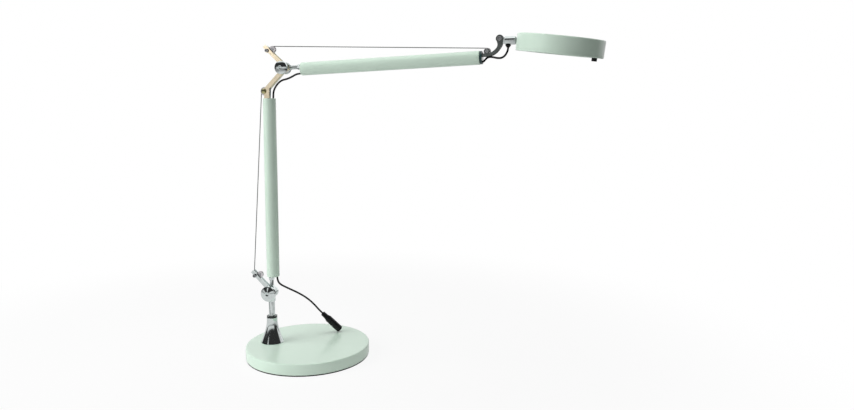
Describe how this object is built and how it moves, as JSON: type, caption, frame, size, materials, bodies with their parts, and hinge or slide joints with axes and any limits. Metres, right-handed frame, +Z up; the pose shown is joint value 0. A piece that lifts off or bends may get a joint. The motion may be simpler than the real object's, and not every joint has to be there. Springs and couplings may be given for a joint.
{
  "type": "desk lamp",
  "caption": "Spring-balanced desk lamp: round weighted base, swivelling stem, two tubular arms with cables over pulleys, and a flat round tilting head with an opal light disc.",
  "frame": {"origin": "centre of the base's underside, on the surface it stands on", "axes": "+Z up, +X from the stem along the arms towards the head, +Y to the far side; the arms' pivots lie along Y"},
  "size_m": [0.5642, 0.2, 0.5135],
  "materials": {
    "white_enamel": "gloss enamel",
    "chrome": "polished",
    "satin_metal": "satin",
    "steel_cable": "stranded",
    "black_rubber": "matt",
    "black_plastic": "fine texture",
    "dark_plug": "smooth",
    "white_plastic": "smooth",
    "opal": "opal",
    "cast_iron": "rough casting",
    "brass": "plain",
    "spring_steel": "drawn wire",
    "board": "coated board"
  },
  "bodies": {
    "base": {"base_cover": "white_enamel", "base_ballast": "cast_iron", "base_plate": "satin_metal", "foot_pad": "black_rubber", "base_screws": "satin_metal", "trumpet_collar": "chrome", "collar_nut": "satin_metal", "swivel_bush": "black_plastic"},
    "stem": {"stem_rod": "chrome", "stem_ring": "chrome", "stem_rivet": "satin_metal", "lower_lever_near": "chrome", "lower_lever_far": "chrome", "lower_anchor_pin": "satin_metal", "lower_guide_pin": "satin_metal", "lower_pivot_bolt": "chrome", "lower_pivot_nut": "chrome", "supply_lead": "black_rubber", "supply_connector": "black_plastic"},
    "lower_guide_wheel": {"lower_guide_pulley": "satin_metal"},
    "lower_arm": {"lower_eye": "chrome", "lower_eye_nut": "chrome", "lower_bottom_plug": "white_plastic", "lower_tube": "white_enamel", "lower_spring": "spring_steel", "lower_cable": "steel_cable", "lower_top_plug": "white_plastic", "elbow_plate_near": "chrome", "elbow_plate_far": "chrome", "elbow_anchor_pin": "satin_metal", "elbow_guide_pin": "satin_metal", "bend_pulley_pin": "brass", "elbow_pivot_bolt": "chrome", "elbow_pivot_nut": "chrome", "elbow_lead": "black_rubber"},
    "bend_wheel": {"bend_pulley": "satin_metal"},
    "elbow_guide_wheel": {"elbow_guide_pulley": "satin_metal"},
    "upper_arm": {"upper_eye": "chrome", "upper_eye_nut": "chrome", "upper_inner_plug": "white_plastic", "upper_tube": "white_enamel", "upper_spring": "spring_steel", "upper_cable": "steel_cable", "upper_end_plug": "dark_plug", "head_link_near": "chrome", "head_link_far": "chrome", "end_pulley_pin": "satin_metal", "knuckle_bolt": "satin_metal", "knuckle_nut": "satin_metal"},
    "end_wheel": {"end_pulley": "satin_metal"},
    "knuckle": {"knuckle_stub": "chrome", "lead_grommet": "black_rubber", "head_lead": "black_rubber"},
    "head": {"head_shell": "white_enamel", "head_spigot": "satin_metal", "lens_ring": "white_enamel", "diffuser": "opal", "led_board": "board", "switch_body": "black_plastic"},
    "button": {"switch_button": "black_plastic"}
  },
  "joints": [
    {"name": "stem_swivel", "type": "hinge", "parent": "base", "child": "stem", "pos_m": [-0.0594, -0.0092, 0.06], "axis": [0, 0, 1], "continuous": true},
    {"name": "lower_pivot", "type": "hinge", "parent": "stem", "child": "lower_arm", "pos_m": [-0.0602, -0.0092, 0.102], "axis": [0, 1, 0], "range_deg": [-12, 40], "deforming": ["lower_cable", "lower_spring", "supply_lead"]},
    {"name": "elbow", "type": "hinge", "parent": "lower_arm", "child": "upper_arm", "pos_m": [-0.0294, -0.0092, 0.4676], "axis": [0, -1, 0], "range_deg": [-60, 60], "deforming": ["upper_cable", "upper_spring", "elbow_lead"]},
    {"name": "head_tilt", "type": "hinge", "parent": "upper_arm", "child": "knuckle", "pos_m": [0.3138, -0.0092, 0.5046], "axis": [0, -1, 0], "range_deg": [-22, 70], "deforming": ["head_lead"]},
    {"name": "head_roll", "type": "hinge", "parent": "knuckle", "child": "head", "pos_m": [0.3306, -0.0092, 0.502], "axis": [1, 0, 0], "range_deg": [-90, 90]},
    {"name": "switch_press", "type": "slide", "parent": "head", "child": "button", "axis": [0.1181, -0.0689, 0.9906], "range_m": [0, 0.0015], "stiffness_N_per_m": 600, "springref_m": -0.001},
    {"name": "lower_guide_spin", "type": "hinge", "parent": "stem", "child": "lower_guide_wheel", "pos_m": [-0.0787, -0.0092, 0.1314], "axis": [0, 1, 0], "continuous": true},
    {"name": "bend_spin", "type": "hinge", "parent": "lower_arm", "child": "bend_wheel", "pos_m": [-0.0628, -0.0092, 0.4312], "axis": [0, 1, 0], "continuous": true},
    {"name": "elbow_guide_spin", "type": "hinge", "parent": "lower_arm", "child": "elbow_guide_wheel", "pos_m": [-0.0479, -0.0092, 0.497], "axis": [0, 1, 0], "continuous": true},
    {"name": "end_spin", "type": "hinge", "parent": "upper_arm", "child": "end_wheel", "pos_m": [0.2953, -0.0092, 0.4866], "axis": [0, 1, 0], "continuous": true}
  ]
}
